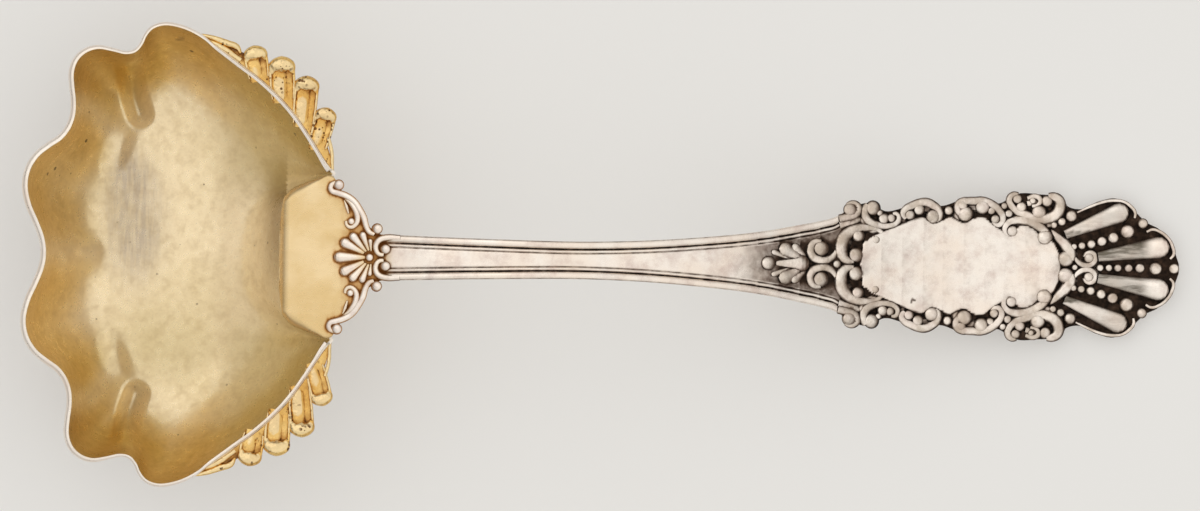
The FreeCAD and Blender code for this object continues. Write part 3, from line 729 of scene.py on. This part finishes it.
def struck_silver_material(looks):
    """Polished silver with black in its hollows, painted shade on the relief's flanks and along the tab's
    edge, grey on the flutes and gilt at the neck.
    """
    made, nodes, shader = material("struck_silver")
    wear = nodes.group("Table Wear", wear_group, Scratch_Scale=600.0, Stretch=(0.15, 1, 1),
                       Patch_Scale=120.0, Speck_Scale=400.0, Speck_Share=0.07)
    at = nodes.coordinates()
    station = nodes.new("SeparateXYZ", Vector=at).outputs["X"]
    gilt = nodes.attribute("gilt")
    silver = nodes.layered(
        (*looks.silver, 1),
        (nodes.between(wear["Patches"], 0.35, 0.65), (*looks.warm_silver, 1)),
        (nodes.between(nodes.noise(at, 330.0, 5.0, 0.65), 0.42, 0.72, 0.0, 0.5), rgb(188, 164, 155)))
    gold = nodes.blend(nodes.between(wear["Patches"], 0.35, 0.7), rgb(220, 190, 136), rgb(234, 208, 162))
    brushed = nodes.between(wear["Scratches"], 0.38, 0.62, 0.45, 1.0)
    formed = nodes.attribute("formed")
    mottled = nodes.between(nodes.noise(at, 420.0), 0.34, 0.68, 0.0, 0.55)
    clean = nodes.layered(
        silver, (gilt, gold),
        (nodes.math("MULTIPLY", nodes.attribute("dull"), brushed), rgb(104, 97, 86)),
        (nodes.math("MULTIPLY", formed, mottled), rgb(150, 131, 108)))
    at_neck = nodes.between(station, 0.026, 0.032, 1.0, 0.0)
    # the hollow input holds patina in the hollows, painted shade on the relief's flanks and painted shade at
    # the tab's edge
    patina = nodes.group(
        "Recess Patina", patina_and_shade_group, Recess=nodes.attribute("recess"),
        Hollow=nodes.math("MAXIMUM", nodes.attribute("hollow"), nodes.attribute("ground")),
        Amount=nodes.between(station, 0.026, 0.036, 0.95, 1.15), Breakup=0.5, Clean_Colour=clean,
        Stain_Colour=nodes.blend(at_neck, rgb(74, 46, 24), rgb(176, 112, 34)),
        Dark_Colour=nodes.blend(at_neck, rgb(16, 8, 3), rgb(112, 62, 14)))
    metal = nodes.math("SUBTRACT", 1.0, nodes.math("MULTIPLY", patina["Mask"], 0.8))
    rough = nodes.between(wear["Scratches"], 0.3, 0.75, 0.2, 0.36)
    forms = nodes.bump(nodes.math("MULTIPLY", nodes.noise(at, 650.0, 2.0), formed), 0.7, 0.0004)
    nodes.feed(
        shader, Base_Color=patina["Colour"], Specular_IOR_Level=0.08,
        Metallic=nodes.math("MULTIPLY", metal, nodes.between(gilt, 0.0, 1.0, 1.0, 0.6)),
        Roughness=nodes.math("ADD", rough, nodes.math("MULTIPLY", patina["Mask"], 0.3)),
        Normal=nodes.bump(wear["Height"], 0.1, 0.0002, Normal=forms))
    return made


def gilt_shoulder_material():
    """Bright gilding with brown in the grooves and clusters of small pits."""
    made, nodes, shader = material("gilt_shoulders")
    wear = nodes.group("Table Wear", wear_group, Scratch_Scale=600.0, Patch_Scale=150.0,
                       Speck_Scale=1700.0, Speck_Share=0.55)
    hollow, at = nodes.attribute("hollow"), nodes.coordinates()
    clusters = nodes.between(nodes.noise(at, 260.0, 2.0), 0.5, 0.62)
    clean = nodes.layered(
        rgb(212, 164, 88),
        (nodes.between(wear["Patches"], 0.35, 0.7), rgb(236, 200, 128)),
        (nodes.between(hollow, 0.0, 0.12, 0.55, 0.0), rgb(238, 222, 182)),
        (nodes.math("MULTIPLY", nodes.math("MULTIPLY", wear["Specks"], clusters), 0.9), rgb(92, 52, 22)))
    patina = nodes.group(
        "Recess Patina", patina_and_shade_group, Recess=nodes.attribute("recess"), Hollow=hollow, Amount=0.62,
        Breakup=0.75, Clean_Colour=clean, Stain_Colour=rgb(168, 112, 44), Dark_Colour=rgb(84, 48, 20))
    nodes.feed(
        shader, Base_Color=patina["Colour"],
        Metallic=nodes.math("SUBTRACT", 1.0, nodes.math("MULTIPLY", patina["Mask"], 0.5)),
        Roughness=nodes.between(wear["Scratches"], 0.3, 0.75, 0.16, 0.3),
        Normal=nodes.bump(nodes.noise(at, 700.0, 2.0), 0.8, 0.0005))
    return made


def pale_table_material(looks):
    """Matt paper, lifted a little so that the shadows stay soft."""
    made, nodes, shader = material("pale_table")
    paper = (*looks.table, 1)
    nodes.feed(shader, Base_Color=paper, Emission_Color=paper, Emission_Strength=0.36, Roughness=0.9,
               Specular_IOR_Level=0.1)
    return made


# Settings

class LadleSizes(bpy.types.PropertyGroup):
    """Sizes that a user would change."""

    rim_height: FloatProperty(name="Rim Height", description="Height of the bowl's rim above the table",
                              default=0.022, unit="LENGTH", subtype="DISTANCE")
    wall: FloatProperty(name="Bowl Wall", description="Thickness of the bowl's wall",
                        default=0.00045, unit="LENGTH", subtype="DISTANCE")
    bowl_steps: IntProperty(name="Bowl Steps", description="Faces round the bowl's rim", default=520, min=60)


class LadleLooks(bpy.types.PropertyGroup):
    """Colours of the metals and of the table."""

    gold: FloatVectorProperty(name="Gold", description="Gilding where it is thick", subtype="COLOR",
                              size=3, default=(0.88, 0.635, 0.225), min=0, max=1)
    worn_gold: FloatVectorProperty(
        name="Worn Gold", description="Gilding that is rubbed pale", subtype="COLOR",
        size=3, default=(0.96, 0.80, 0.53), min=0, max=1)
    silver: FloatVectorProperty(name="Silver", description="Polished silver", subtype="COLOR",
                                size=3, default=(0.88, 0.81, 0.735), min=0, max=1)
    warm_silver: FloatVectorProperty(
        name="Tarnished Silver", description="Silver with a thin warm tarnish", subtype="COLOR",
        size=3, default=(0.86, 0.75, 0.65), min=0, max=1)
    rim_silver: FloatVectorProperty(
        name="Rim", description="The rim, where the gilding is rubbed off", subtype="COLOR",
        size=3, default=(0.80, 0.74, 0.65), min=0, max=1)
    table: FloatVectorProperty(name="Table", description="The pale table", subtype="COLOR",
                               size=3, default=(0.592, 0.584, 0.568), min=0, max=1)
    light: FloatProperty(name="Light", description="Strength of the soft light all round",
                         default=1.17, min=0)


# Pieces

def bowl_where(sizes, mouth, count):
    """Lays the bowl's sheet: its columns go round the rim, its rows from the floor's middle to the lip."""
    wall, rim = sizes.wall / MM, sizes.rim_height / MM
    body = blurred(blurred(mouth, count * 0.02), count * 0.02)
    floor = BOWL_CENTRE + (blurred(body, count * 0.03) - BOWL_CENTRE) * FLOOR_SHARE
    x = mouth[:, 0]
    at_tab = (x > 13) & (np.abs(mouth[:, 1]) < 12.4)
    tab = smooth_step(0, 3.0, 20.9 - x) * at_tab
    tops = rim + (top_line(x) - UNDER_TAB - rim) * tab
    tangent = np.roll(mouth, -1, 0) - np.roll(mouth, 1, 0)
    tangent /= np.linalg.norm(tangent, axis=1)[:, None]
    outward = np.column_stack([-tangent[:, 1], tangent[:, 0]])
    curl = 0.5 + 0.35 * smooth_step(10, 20, -x) - 0.3 * smooth_step(1, 4, x)
    curl *= (1 - smooth_step(18.5, 20.5, x)) * (1 - at_tab)

    def where(at):
        k = np.rint(at[:, 0] * count).astype(int) % count
        lip = LIP_TURN * np.clip((at[:, 1] - (1 - LIP_ROWS)) / LIP_ROWS, 0, 1)
        rise = np.clip(at[:, 1] / (1 - LIP_ROWS), 0, 1)
        inner = np.clip(rise / FLOOR_ROWS, 0, 1)[:, None]
        turn = math.pi / 2 * np.clip((rise - FLOOR_ROWS) / (1 - FLOOR_ROWS), 0, 1)
        climb = 1 - np.cos(turn)
        edge = body[k] + (mouth[k] - body[k]) * (climb**0.6)[:, None]
        flat = floor[k] + (edge - floor[k]) * (np.sin(turn) ** 0.8)[:, None]
        flat = BOWL_CENTRE + (flat - BOWL_CENTRE) * inner
        height = wall + climb * (tops[k] - wall)
        near_rim = smooth_step(0.2, 3.0, distance_to(mouth, flat)) * smooth_step(0, 0.2, turn)
        for points, width, size in FOLDS:
            height = height + size * near_rim * smooth_step(0, 1, 1 - distance_to_pair(points, flat) / width)
        flat = flat + outward[k] * (curl[k] * np.sin(lip))[:, None]
        return np.column_stack([flat, height - curl[k] * (1 - np.cos(lip))])

    return where


def mark_bowl(piece, mouth, rim):
    """Writes where the gilding is deep, its deep tone also painting the walls' shade, where it is rubbed or
    gone, where shade and a few nicks are painted, and which side is the outside.
    """
    spots, normals = vertex_spots(piece), vertex_rows(piece, "normal")
    x, y, z = spots.T
    away, aside = distance_to(mouth, spots), np.abs(y)
    right = smooth_step(-6, 8, x)
    # painted shade: the deep gold near the rim stands for thick gilding and also for the shade of the steep
    # walls, which reflect the darker room
    deep = 1 - smooth_step(0.5 - 0.5 * right, 11.0 - 5.5 * right, away)
    for (points, _, _), share, width in zip(FOLDS[1:], (0.6, 0.5), (2.2, 2.6)):
        deep = deep * (1 - share * bell(distance_to_pair(points, spots), width))
    beside_tab = smooth_step(3, 9, x) * (1 - smooth_step(9.0, 16.0, aside))
    set_mark(piece, "gilding", deep * (1 - beside_tab) * (1 - 0.3 * smooth_step(12, 19, -x)))
    facing = normals[:, 0] * (x - BOWL_CENTRE[0]) + normals[:, 1] * y
    set_mark(piece, "outside", np.maximum(smooth_step(0.5, 3.0, facing), normals[:, 2] < -0.2))
    set_mark(piece, "satin", smooth_step(1, 7, x) * (1 - 0.5 * smooth_step(12, 24, aside)))
    low_basin = 0.8 * patch(x, y, (-4, -14), (9, 6))
    set_mark(piece, "olive", np.maximum(smooth_step(0, 11, x) * smooth_step(6, 14, aside), low_basin))
    set_mark(piece, "edge", smooth_step(rim - 1.0, rim - 0.5, z))
    rubbed = 0.9 * patch(x, y, (-8.5, 4.5), (5, 10)) + 0.4 * patch(x, y, (-9.5, 11), (3, 4))
    set_mark(piece, "rubbed", np.clip(rubbed, 0, 1))
    # painted shade: a dark band left of the tab, the shaded groove of the first fold, the darker walls under
    # the right rim and at the far sides; only the nick is a real mark
    tab_band_shade = bell(np.clip(13.0 - x, 0, None), 2.2) * smooth_step(-10, 3, y) * (1 - smooth_step(10, 18, y))
    fold_groove_shade = 0.45 * bell(distance_to_pair(FOLDS[0][0], spots), 1.8) * smooth_step(1, 4, away)
    nick = bell(distance_to(along(RIM_NICK), spots), 0.4) * (z > 12)
    shade = 0.34 * smooth_step(-4, 6, x) * (1 - smooth_step(0.4, 4.5, away)) * (aside > 12)
    sides = 0.3 * smooth_step(18, 27, aside) * (1 - smooth_step(3, 8, away))
    set_mark(piece, "painted_shade_and_nicks", np.maximum.reduce([tab_band_shade * (x < 14), fold_groove_shade, nick, shade, sides]))


class LADLE_OT_bowl(bpy.types.Operator):
    """Make the scalloped gilt bowl"""

    bl_idname = "ladle.bowl"
    bl_label = "Gilt Bowl"

    def execute(self, context):
        sizes, looks = context.scene.ladle_sizes, context.scene.ladle_looks
        half, count, rows = MOUTH + TAB_EDGE, sizes.bowl_steps, 80
        mouth = closed_outline(list(half) + [(x, -y) for x, y in half[-2:0:-1]], count)
        bm = sheet(count, rows)
        place(bm, bowl_where(sizes, mouth, count))
        bmesh.ops.remove_doubles(bm, verts=bm.verts, dist=1e-4)
        bmesh.ops.recalc_face_normals(bm, faces=bm.faces)
        if sum(f.normal.z for f in bm.faces) < 0:
            bmesh.ops.reverse_faces(bm, faces=bm.faces)
        piece = finished(bm, "bowl")
        wall = piece.modifiers.new("wall", "SOLIDIFY")
        wall.thickness, wall.offset = sizes.wall, -1.0
        soften = piece.modifiers.new("soft_rim", "BEVEL")
        soften.limit_method, soften.angle_limit = "ANGLE", math.radians(50)
        soften.width, soften.segments, soften.affect = 0.00012, 3, "EDGES"
        baked(piece)
        mark_bowl(piece, mouth, sizes.rim_height / MM)
        belongs(piece, gilt_bowl_material(looks))
        return {"FINISHED"}


def stem_section(inward):
    """Height of the reeded stem's section at a distance in from its edge."""
    rail = np.sqrt(np.clip(0.54**2 - (inward - 0.54) ** 2, 0, None)) * 0.75
    reed = np.sqrt(np.clip(0.2**2 - (inward - 1.5) ** 2, 0, None)) * 1.2
    panel = smooth_step(1.78, 1.98, inward) * 0.16
    return np.maximum(rail, np.maximum(reed, panel)) - 0.05


def at_cartouche(x):
    """Which stations cross the cartouche."""
    return (x > CARTOUCHE[0][0]) & (x < CARTOUCHE[-1][0])


def neck_gilding(x):
    """The share of gilding at a station, which ends at the neck."""
    return 1 - smooth_step(28.2, 30.2, x)


# Where the columns of the handle's sheet lie, closer together in its ornamented ends.
COLUMN_STATIONS = np.concatenate([
    np.linspace(TAB_X, NECK_X, 90), np.linspace(NECK_X, FLARE_X, 110)[1:],
    np.linspace(FLARE_X, TIP_X, 330)[1:]])


def handle_top(at):
    """Where the sheet of the handle's top goes."""
    last = len(COLUMN_STATIONS) - 1
    x = np.interp(at[:, 0] * last, np.arange(last + 1), COLUMN_STATIONS)
    half = half_width(x)
    y = (np.sin((at[:, 1] - 0.5) * math.pi) * 0.35 + (at[:, 1] - 0.5) * 2 * 0.65) * half
    inward = half - np.abs(y)
    end = np.minimum(inward, np.where(x < 29, x - TAB_X, TIP_X + 0.5 - x))
    soft = 0.3 + 1.3 * (1 - smooth_step(15.5, 20.0, x))
    rounding = -(soft - np.sqrt(np.clip(soft**2 - np.clip(soft - end, 0, None) ** 2, 0, None)))
    stem = smooth_step(28.6, 30.0, x) * (1 - smooth_step(95.0, 97.0, x))
    pad = np.clip((cartouche(x) - np.abs(y)) / 0.25, 0, 1) * at_cartouche(x) * 0.35
    return np.column_stack([x, y, top_line(x) + stem_section(inward) * stem + rounding * (1 - stem) + pad])


def mark_handle(piece):
    """Writes where the handle is stained or gilt, and paints shade along the tab's left edge."""
    spots = vertex_spots(piece)
    x, y = spots[:, 0], np.abs(spots[:, 1])
    inside = smooth_step(0.0, 0.2, cartouche(x) - y) * at_cartouche(x)
    stained = smooth_step(95.5, 98.5, x) * (1 - inside)
    inward = half_width(x) - y
    groove = bell(inward - 1.18, 0.13) + 0.7 * bell(inward - 1.82, 0.11)
    groove *= smooth_step(29, 34, x) * (1 - smooth_step(94, 97, x)) * (0.6 + 0.4 * smooth_step(50, 80, x))
    grey = 0.75 * smooth_step(75, 87, x) * (1 - smooth_step(96, 98, x)) * smooth_step(1.8, 2.1, inward)
    nick = 0.95 * bell(distance_to(along(CARTOUCHE_NICK), spots), 0.22)
    # painted shade: the dark band beside the tab runs on over the tab's left edge, on the +y side only
    edge = 0.2 * bell(np.clip(x - TAB_X, 0, None), 1.1) * smooth_step(-5, 3, spots[:, 1]) * (x < 20)
    stained = np.maximum.reduce([stained, groove, grey, nick, edge])
    set_mark(piece, "ground", stained * (spots[:, 2] > top_line(x) - 0.5))
    set_mark(piece, "gilt", neck_gilding(x))


class LADLE_OT_handle(bpy.types.Operator):
    """Make the handle: tab, reeded stem and the ground of the struck end"""

    bl_idname = "ladle.handle"
    bl_label = "Handle"

    def execute(self, context):
        bm = sheet(len(COLUMN_STATIONS) - 1, 72)
        place(bm, handle_top)
        under = backed(bm)
        at = np.array([v.co for v in under])
        share = np.abs(at[:, 1]) / half_width(at[:, 0])
        at[:, 2] = top_line(at[:, 0]) - thickness(at[:, 0]) * (1 - 0.45 * share**4)
        at[:, 1] *= 0.97
        for v, spot in zip(under, at):
            v.co = spot
        bmesh.ops.recalc_face_normals(bm, faces=bm.faces)
        mark_handle(finished(bm, "handle"))
        return {"FINISHED"}


def relief_forms():
    """All the struck ornament but the flutes, over a low layer of foliage."""
    strands = [strand for drawn, share in STRANDS for strand in broader(drawn, share)]
    strands += [teardrop(tip, root, radius * share) for drawn, share in LOBES for tip, root, radius in drawn]
    bm = tubes(both(strands) + [teardrop(*lobe) for lobe in MIDDLE_LOBES])
    for balls, share in BALLS:
        add_balls(bm, [(x, y * turn, radius * share) for x, y, radius in balls for turn in (-1, 1)])
    add_balls(bm, [(x, 0, radius * 1.1) for x, radius in AXIS_BALLS])
    raised(bm)
    low = [([(x, y * 0.92) for x, y in points], radii) for points, radii in FLARE_STRANDS + BORDER_STRANDS]
    foliage = tubes(both(broader(low, 2.3)))
    raised(foliage, 0.35, lambda radius: 0.26)
    add(bm, foliage)
    return bm


def mark_relief(piece, flutes):
    """Writes where the raised forms are gilt, grey or stained, after their recesses, and paints shade on
    their sloping flanks.
    """
    x, y, z = vertex_spots(piece).T
    above = z - top_line(x)
    set_mark(piece, "gilt", (1 - smooth_step(0.1, 0.45, above)) * neck_gilding(x))
    outer = np.abs(y) > 5.3
    dull = (1 - 0.65 * outer) * (1 - smooth_step(140.0, 142.0, x + 0.9 * outer))
    set_mark(piece, "dull", dull * flutes)
    set_mark(piece, "formed", smooth_step(80, 90, x) * (not flutes))
    low = 1 - smooth_step(0.18, 0.58, above)
    # painted shade: the sloping flanks of the raised forms are darkened by how far their normals turn from up
    painted_flank_shade = 0.85 * smooth_step(0.015, 0.45, 1 - vertex_rows(piece, "normal")[:, 2])
    change_mark(piece, "recess", lambda values: np.clip(1.5 * values, 0, 1))
    change_mark(piece, "hollow", lambda values: np.maximum(values * low, painted_flank_shade))


class LADLE_OT_relief(bpy.types.Operator):
    """Make the struck ornament of the neck and of the handle's end"""

    bl_idname = "ladle.relief"
    bl_label = "Struck Relief"

    def execute(self, context):
        relief = finished(relief_forms(), "relief")
        bm = tubes(both([teardrop(*flute) for flute in FLUTES]))
        raised(bm, 0.45)
        flutes = finished(bm, "flutes")
        handle = bpy.data.objects["handle"]
        mark_recesses([handle, relief, flutes])
        mark_relief(relief, False)
        mark_relief(flutes, True)
        x = vertex_spots(handle)[:, 0]
        on_tab, end = 1 - smooth_step(17, 20, x), smooth_step(83, 87, x)
        change_mark(handle, "recess", lambda values: values * (1 - on_tab))
        change_mark(handle, "hollow", lambda values: np.clip(values * (1 + end - on_tab), 0, 1))
        silver = struck_silver_material(context.scene.ladle_looks)
        for piece in (handle, relief, flutes):
            belongs(piece, silver)
        return {"FINISHED"}


def gadroon(tip, root, radius):
    """One gadroon's two reeds, its hood and the ridges at its sides, as strands."""
    tip, root = Vector(tip), Vector(root)
    axis = (tip - root).normalized()
    across = Vector((axis.y, -axis.x))
    middle = (root + tip) / 2
    line = (root - axis * 0.4, root + axis * 0.6, middle, tip - axis * 0.35)
    reeds = [([spot + across * offset * radius for spot in line],
              [radius * share * swell for swell in (0.75, 0.95, 1.02, 0.85)])
             for offset, share in ((-0.28, 0.72), (0.62, 0.42))]
    hood = ([tip + (across * side + axis * out) * radius for side, out, size in HOOD],
            [radius * size for side, out, size in HOOD])
    ridges = []
    for edge in (-across * radius, across * radius):
        points = [root + edge * 0.85 + axis * 0.2, middle + edge * 0.95, tip + edge * 0.95 - axis * 0.3]
        ridges.append((points, (0.14, 0.2, 0.22)))
    return reeds, hood, ridges


def shoulder_ledge(rim):
    """The narrow ledge outside the rim that the gadrooned border stands on."""
    inner = np.array([point for point in MOUTH if point[0] > -1])
    ways = way_along(inner)

    def where(at):
        x, y = spots_on(inner, ways / ways[-1], at[:, 0]).T
        swell = np.interp(at[:, 0], (0, 0.12, 0.3, 0.5, 0.75, 0.92, 1), (0.2, 1.2, 2.4, 2.6, 2.6, 1.4, 0.4))
        out = 0.15 + (swell - 0.15) * at[:, 1]
        return np.column_stack([x + 0.78 * out, y + 0.62 * out, rim - 0.7 - 0.18 * out])

    bm = sheet(120, 12)
    place(bm, where)
    bmesh.ops.translate(bm, verts=backed(bm), vec=(0, 0, -1.0))
    return bm


class LADLE_OT_shoulders(bpy.types.Operator):
    """Make the gadrooned borders on the bowl's shoulders"""

    bl_idname = "ladle.shoulders"
    bl_label = "Gadrooned Shoulders"

    def execute(self, context):
        rim = context.scene.ladle_sizes.rim_height / MM
        reeds, hoods, ridges = [], [], []
        for tip, root, radius in GADROONS:
            pair, hood, sides = gadroon(tip, root, radius)
            reeds += pair
            hoods.append(hood)
            ridges += sides
        pieces = []
        for side, name in ((1, "left_shoulder"), (-1, "right_shoulder")):
            bm = bmesh.new()
            for strands, flatness, lift in (
                    (reeds, 0.4, -0.24), (hoods, 0.7, 0.1), (ridges + list(SHOULDER_STRANDS), 0.9, 0.14)):
                forms = tubes(strands)
                bmesh.ops.scale(forms, vec=(1, 1, flatness), verts=forms.verts)
                bmesh.ops.translate(forms, verts=forms.verts, vec=(0, 0, lift + rim - 0.9))
                add(bm, forms)
            add(bm, shoulder_ledge(rim))
            bmesh.ops.scale(bm, vec=(1, side, 1), verts=bm.verts)
            bmesh.ops.recalc_face_normals(bm, faces=bm.faces)
            pieces.append(finished(bm, name))
        mark_recesses(pieces)
        gilt = gilt_shoulder_material()
        for piece in pieces:
            belongs(piece, gilt)
        return {"FINISHED"}


# Stage

def studio_light(scene, strength):
    """A soft light all round, dimmer at table height, and one large lamp up at the left."""
    world = bpy.data.worlds.new("studio")
    scene.world = world
    world.use_nodes = True
    sky = Nodes(world.node_tree)
    around = sky.new("TexCoord").outputs["Generated"]
    up = sky.new("SeparateXYZ", Vector=around).outputs["Z"]
    side = sky.new("VectorMath", {"operation": "DOT_PRODUCT"}, _0=around, _1=(0.15, 0.0, 0)).outputs["Value"]
    colour = sky.new("ValToRGB", Fac=sky.math("ADD", up, side))
    ramp = colour.color_ramp.elements
    ramp.new(0.36).color = (0.7, 0.69, 0.67, 1)
    ramp[0].position, ramp[0].color = 0.0, (0.16, 0.152, 0.14, 1)
    ramp[2].position, ramp[2].color = 1.0, (0.93, 0.92, 0.9, 1)
    sky.feed(world.node_tree.nodes["Background"], Color=colour.outputs["Color"], Strength=strength)

    lamp = bpy.data.lights.new("key", "AREA")
    lamp.size, lamp.energy, lamp.color = 2.0, 3.5, (1.0, 0.98, 0.95)
    holder = bpy.data.objects.new("key", lamp)
    holder.location = (-0.9, 1.0, 1.5)
    aim = Vector((0.05, 0, 0)) - holder.location
    holder.rotation_euler = aim.to_track_quat("-Z", "Y").to_euler()
    holder.visible_camera = False
    scene.collection.objects.link(holder)


def overhead_camera(scene):
    """A camera straight above, at the photo's scale and with the handle's slope in the picture."""
    pixels_per_mm, picture_width, handle_slope = 6.8, 1200, 0.0142
    distance, scaled_level = 3.0, 0.012
    camera = bpy.data.cameras.new("camera")
    camera.sensor_width, camera.clip_end = 36.0, 20.0
    camera.lens = camera.sensor_width * (distance - scaled_level) / (picture_width / pixels_per_mm * MM)
    holder = bpy.data.objects.new("camera", camera)
    holder.location = (0.06029, 0.00076, distance)
    holder.rotation_euler = (0, 0, math.atan(handle_slope))
    scene.collection.objects.link(holder)
    scene.camera = holder


class LADLE_OT_stage(bpy.types.Operator):
    """Make the table, the light and the camera"""

    bl_idname = "ladle.stage"
    bl_label = "Table, Light and Camera"

    def execute(self, context):
        scene, looks = context.scene, context.scene.ladle_looks
        bm = bmesh.new()
        bmesh.ops.create_grid(bm, x_segments=1, y_segments=1, size=4.0)
        mesh = bpy.data.meshes.new("table")
        bm.to_mesh(mesh)
        bm.free()
        table = bpy.data.objects.new("table", mesh)
        scene.collection.objects.link(table)
        mesh.materials.append(pale_table_material(looks))
        studio_light(scene, looks.light)
        overhead_camera(scene)
        scene.view_settings.view_transform = "Standard"
        return {"FINISHED"}


class LADLE_PT_panel(bpy.types.Panel):
    """The ladle's steps in the sidebar"""

    bl_idname = "LADLE_PT_panel"
    bl_label = "Gravy Ladle"
    bl_space_type = "VIEW_3D"
    bl_region_type = "UI"
    bl_category = "Ladle"

    def draw(self, context):
        for settings in (context.scene.ladle_sizes, context.scene.ladle_looks):
            for name in settings.bl_rna.properties.keys():
                if name not in ("rna_type", "name"):
                    self.layout.prop(settings, name)
        for operator in OPERATORS:
            self.layout.operator(operator.bl_idname)


OPERATORS = (LADLE_OT_bowl, LADLE_OT_shoulders, LADLE_OT_handle, LADLE_OT_relief, LADLE_OT_stage)
CLASSES = (LadleSizes, LadleLooks) + OPERATORS + (LADLE_PT_panel,)


def register():
    for cls in CLASSES:
        bpy.utils.register_class(cls)
    bpy.types.Scene.ladle_sizes = PointerProperty(type=LadleSizes)
    bpy.types.Scene.ladle_looks = PointerProperty(type=LadleLooks)


def unregister():
    del bpy.types.Scene.ladle_sizes
    del bpy.types.Scene.ladle_looks
    for cls in reversed(CLASSES):
        bpy.utils.unregister_class(cls)


def main():
    register()
    bpy.ops.ladle.bowl()
    bpy.ops.ladle.shoulders()
    bpy.ops.ladle.handle()
    bpy.ops.ladle.relief()
    bpy.ops.ladle.stage()


if __name__ == "__main__":
    main()
